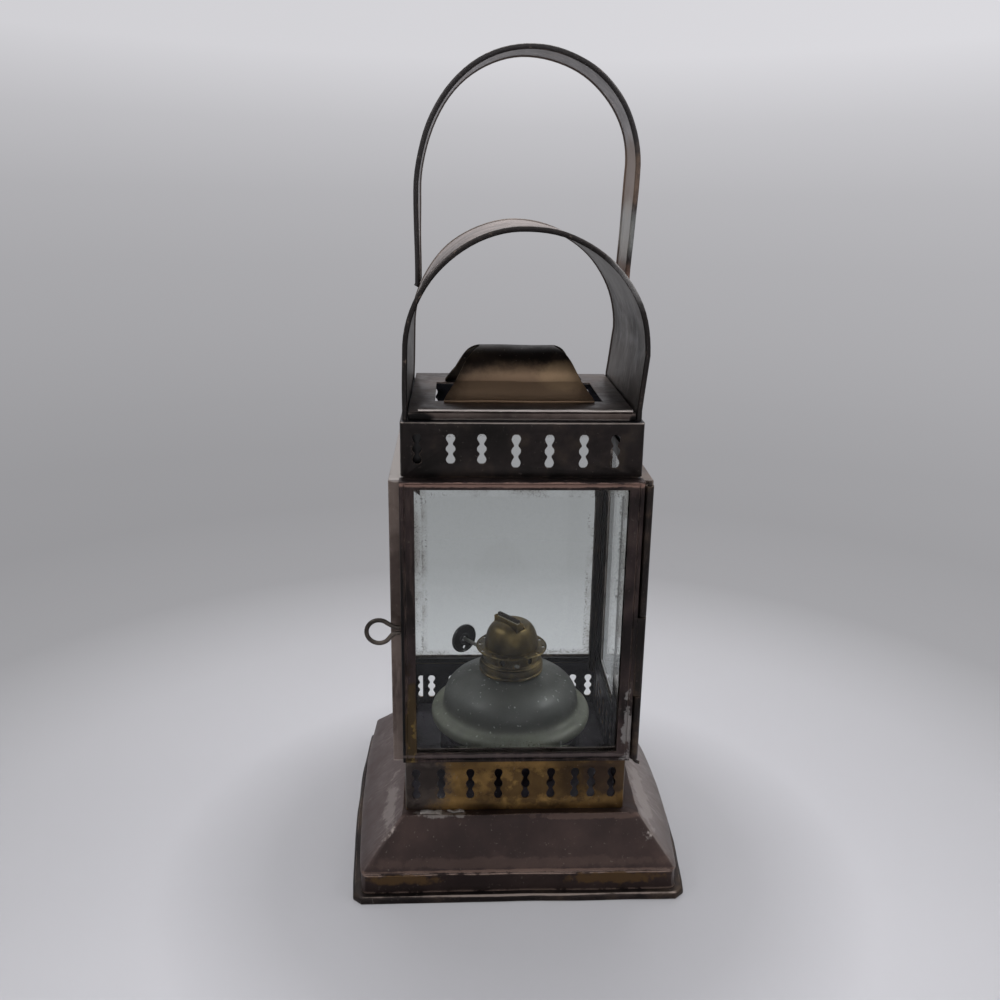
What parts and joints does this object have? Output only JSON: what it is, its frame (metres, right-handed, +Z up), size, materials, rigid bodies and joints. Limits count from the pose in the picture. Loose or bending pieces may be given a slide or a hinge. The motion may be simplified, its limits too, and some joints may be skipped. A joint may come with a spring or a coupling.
{
  "type": "kerosene lantern",
  "caption": "Square kerosene lantern: hipped base, bevelled panes with slotted vent bands, hinged glazed door, vaulted canopy, strap handle, glass fount with a flat-wick burner.",
  "frame": {"origin": "centre of the base, on the surface it stands on", "axes": "+Z up; the door faces -Y; +X to the right as seen from the door side"},
  "size_m": [0.1206, 0.111, 0.2777],
  "materials": {
    "dark_brass": "dark brown patina",
    "purple_brass": "purplish brown patina, rubbed at the edges",
    "gold_brass": "worn, patchy",
    "grey_brass": "grey patina, streaked",
    "wire": "dulled wire",
    "burner_brass": "aged",
    "blackened_metal": "blackened",
    "felt": "woven cotton",
    "clear_glass": "bevelled, grimy",
    "aged_glass": "clouded with age"
  },
  "bodies": {
    "housing": {"base_rim": "dark_brass", "floor_plate": "dark_brass", "upper_vent_band": "dark_brass", "front_left_post": "dark_brass", "front_right_post": "dark_brass", "back_left_post": "dark_brass", "back_right_post": "dark_brass", "left_pane_frame": "dark_brass", "right_pane_frame": "dark_brass", "back_pane_frame": "dark_brass", "door_header": "dark_brass", "left_header": "dark_brass", "right_header": "dark_brass", "lower_body_leaf": "dark_brass", "upper_body_leaf": "dark_brass", "fount_cup": "dark_brass", "base_skirt": "purple_brass", "lower_vent_band": "gold_brass", "vent_hood": "gold_brass", "roof_plate": "grey_brass", "canopy": "grey_brass", "handle": "grey_brass", "hinge_pin": "wire", "fount_collar": "burner_brass", "burner_body": "burner_brass", "air_gallery": "burner_brass", "flame_cone": "burner_brass", "wick_tube": "burner_brass", "left_glass": "clear_glass", "right_glass": "clear_glass", "back_glass": "clear_glass", "fount_glass": "aged_glass"},
    "door": {"door_frame": "dark_brass", "door_glass": "clear_glass", "door_pull": "wire", "door_leaf": "dark_brass"},
    "wick_shaft": {"wick_spindle": "wire", "wick_knob": "blackened_metal"},
    "wick_strip": {"wick": "felt"}
  },
  "joints": [
    {"name": "door_hinge", "type": "hinge", "parent": "housing", "child": "door", "pos_m": [0.0407, -0.0412, 0.0961], "axis": [0, 0, 1], "range_deg": [0, 115]},
    {"name": "wick_knob_turn", "type": "hinge", "parent": "housing", "child": "wick_shaft", "pos_m": [-0.00409, -0.00322, 0.0667], "axis": [0.6184, -0.7859, 0], "range_deg": [-88, 220]},
    {"name": "wick_raise", "type": "slide", "parent": "housing", "child": "wick_strip", "axis": [0, 0, 1], "range_m": [-0.004, 0.01]}
  ],
  "couplings": [
    {"joint": "wick_raise", "follows": "wick_knob_turn", "m_per_rad": 0.0026}
  ]
}
